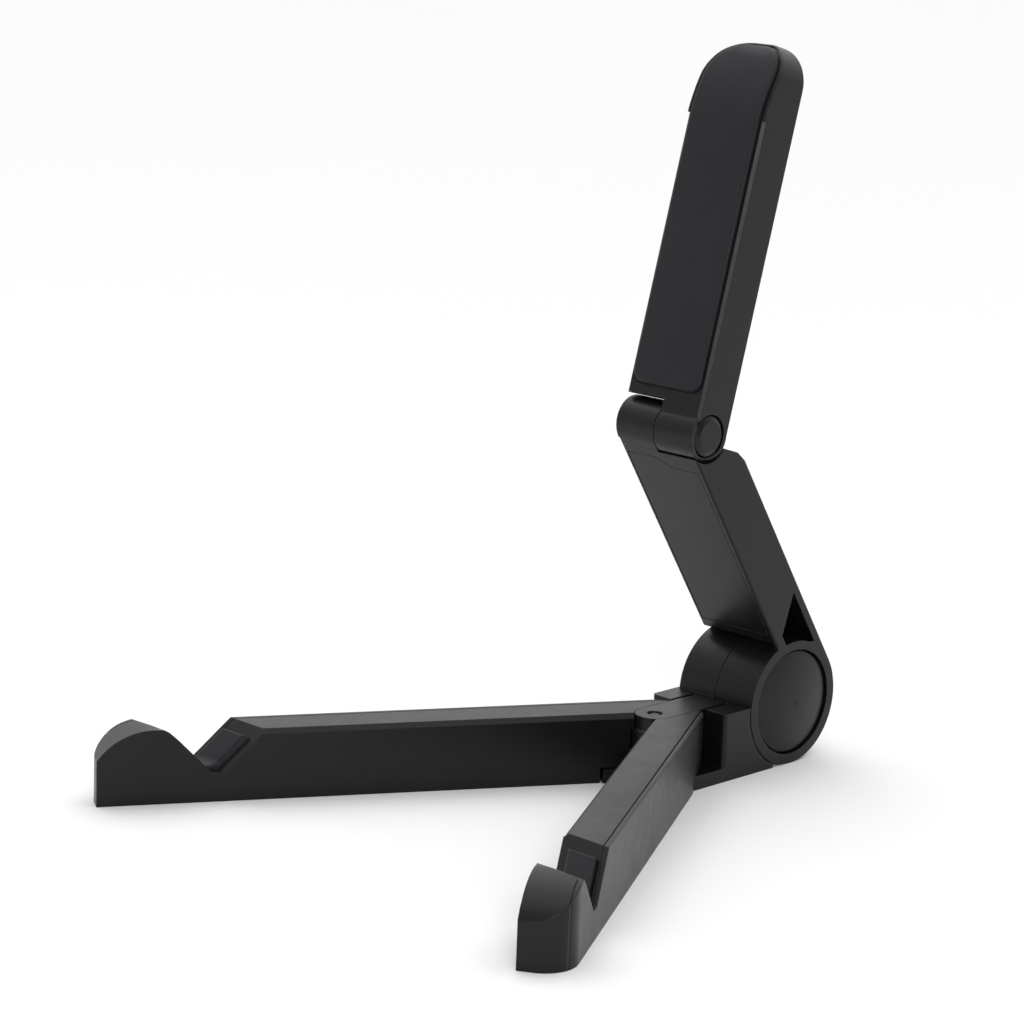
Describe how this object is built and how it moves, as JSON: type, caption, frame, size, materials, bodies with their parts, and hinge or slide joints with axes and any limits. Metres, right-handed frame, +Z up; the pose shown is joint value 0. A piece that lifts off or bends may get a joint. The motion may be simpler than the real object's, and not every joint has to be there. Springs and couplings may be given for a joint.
{
  "type": "tablet stand",
  "caption": "Folding tablet stand: splayed legs with V notches, a friction hinge drum, a lower arm and a padded upper arm.",
  "frame": {"origin": "on the floor, under the middle of the open stand's bounding box", "axes": "+X across the stand, -Y towards the leg tips where the tablet's lower edge rests, +Z up"},
  "size_m": [0.156, 0.1762, 0.1833],
  "materials": {
    "black_abs": "fine matte moulded texture with a soft sheen",
    "pad_rubber": "smooth matte rubber",
    "plated_steel": "zinc plated",
    "dark_steel": "black oxide",
    "nylon": "natural nylon"
  },
  "bodies": {
    "base": {"base_bracket": "black_abs", "hub_disc": "black_abs", "main_hinge_screw": "plated_steel", "main_hinge_washers": "plated_steel", "main_hinge_spring_washer": "plated_steel", "main_hinge_nut": "plated_steel", "main_friction_disc": "nylon", "leg_pivot_pin": "dark_steel", "leg_pivot_washers": "nylon"},
    "leg_left": {"leg_left_body": "black_abs", "leg_left_cover": "black_abs", "leg_left_notch_pad": "pad_rubber"},
    "leg_right": {"leg_right_body": "black_abs", "leg_right_cover": "black_abs", "leg_right_notch_pad": "pad_rubber"},
    "lower_arm": {"lower_arm_shell": "black_abs", "lower_arm_cover": "black_abs", "hub_cap": "black_abs", "elbow_screw": "plated_steel", "elbow_washers": "plated_steel", "elbow_spring_washer": "plated_steel", "elbow_nut": "plated_steel", "elbow_friction_washer": "nylon"},
    "upper_arm": {"upper_arm_shell": "black_abs", "upper_arm_front_plate": "black_abs", "upper_arm_pad": "pad_rubber", "elbow_cap": "black_abs"}
  },
  "joints": [
    {"name": "leg_left_pivot", "type": "hinge", "parent": "base", "child": "leg_left", "pos_m": [0, 0.0328, 0.009], "axis": [0, 0, 1], "range_deg": [0, 30.3]},
    {"name": "leg_right_pivot", "type": "hinge", "parent": "base", "child": "leg_right", "pos_m": [0, 0.0328, 0.009], "axis": [0, 0, 1], "range_deg": [-30.3, 0]},
    {"name": "main_hinge", "type": "hinge", "parent": "base", "child": "lower_arm", "pos_m": [0, 0.0718, 0.0164], "axis": [1, 0, 0], "range_deg": [-33.4, 56.6]},
    {"name": "elbow_hinge", "type": "hinge", "parent": "lower_arm", "child": "upper_arm", "pos_m": [0, 0.03379, 0.0904], "axis": [1, 0, 0], "range_deg": [-31.8, 48.2]}
  ]
}
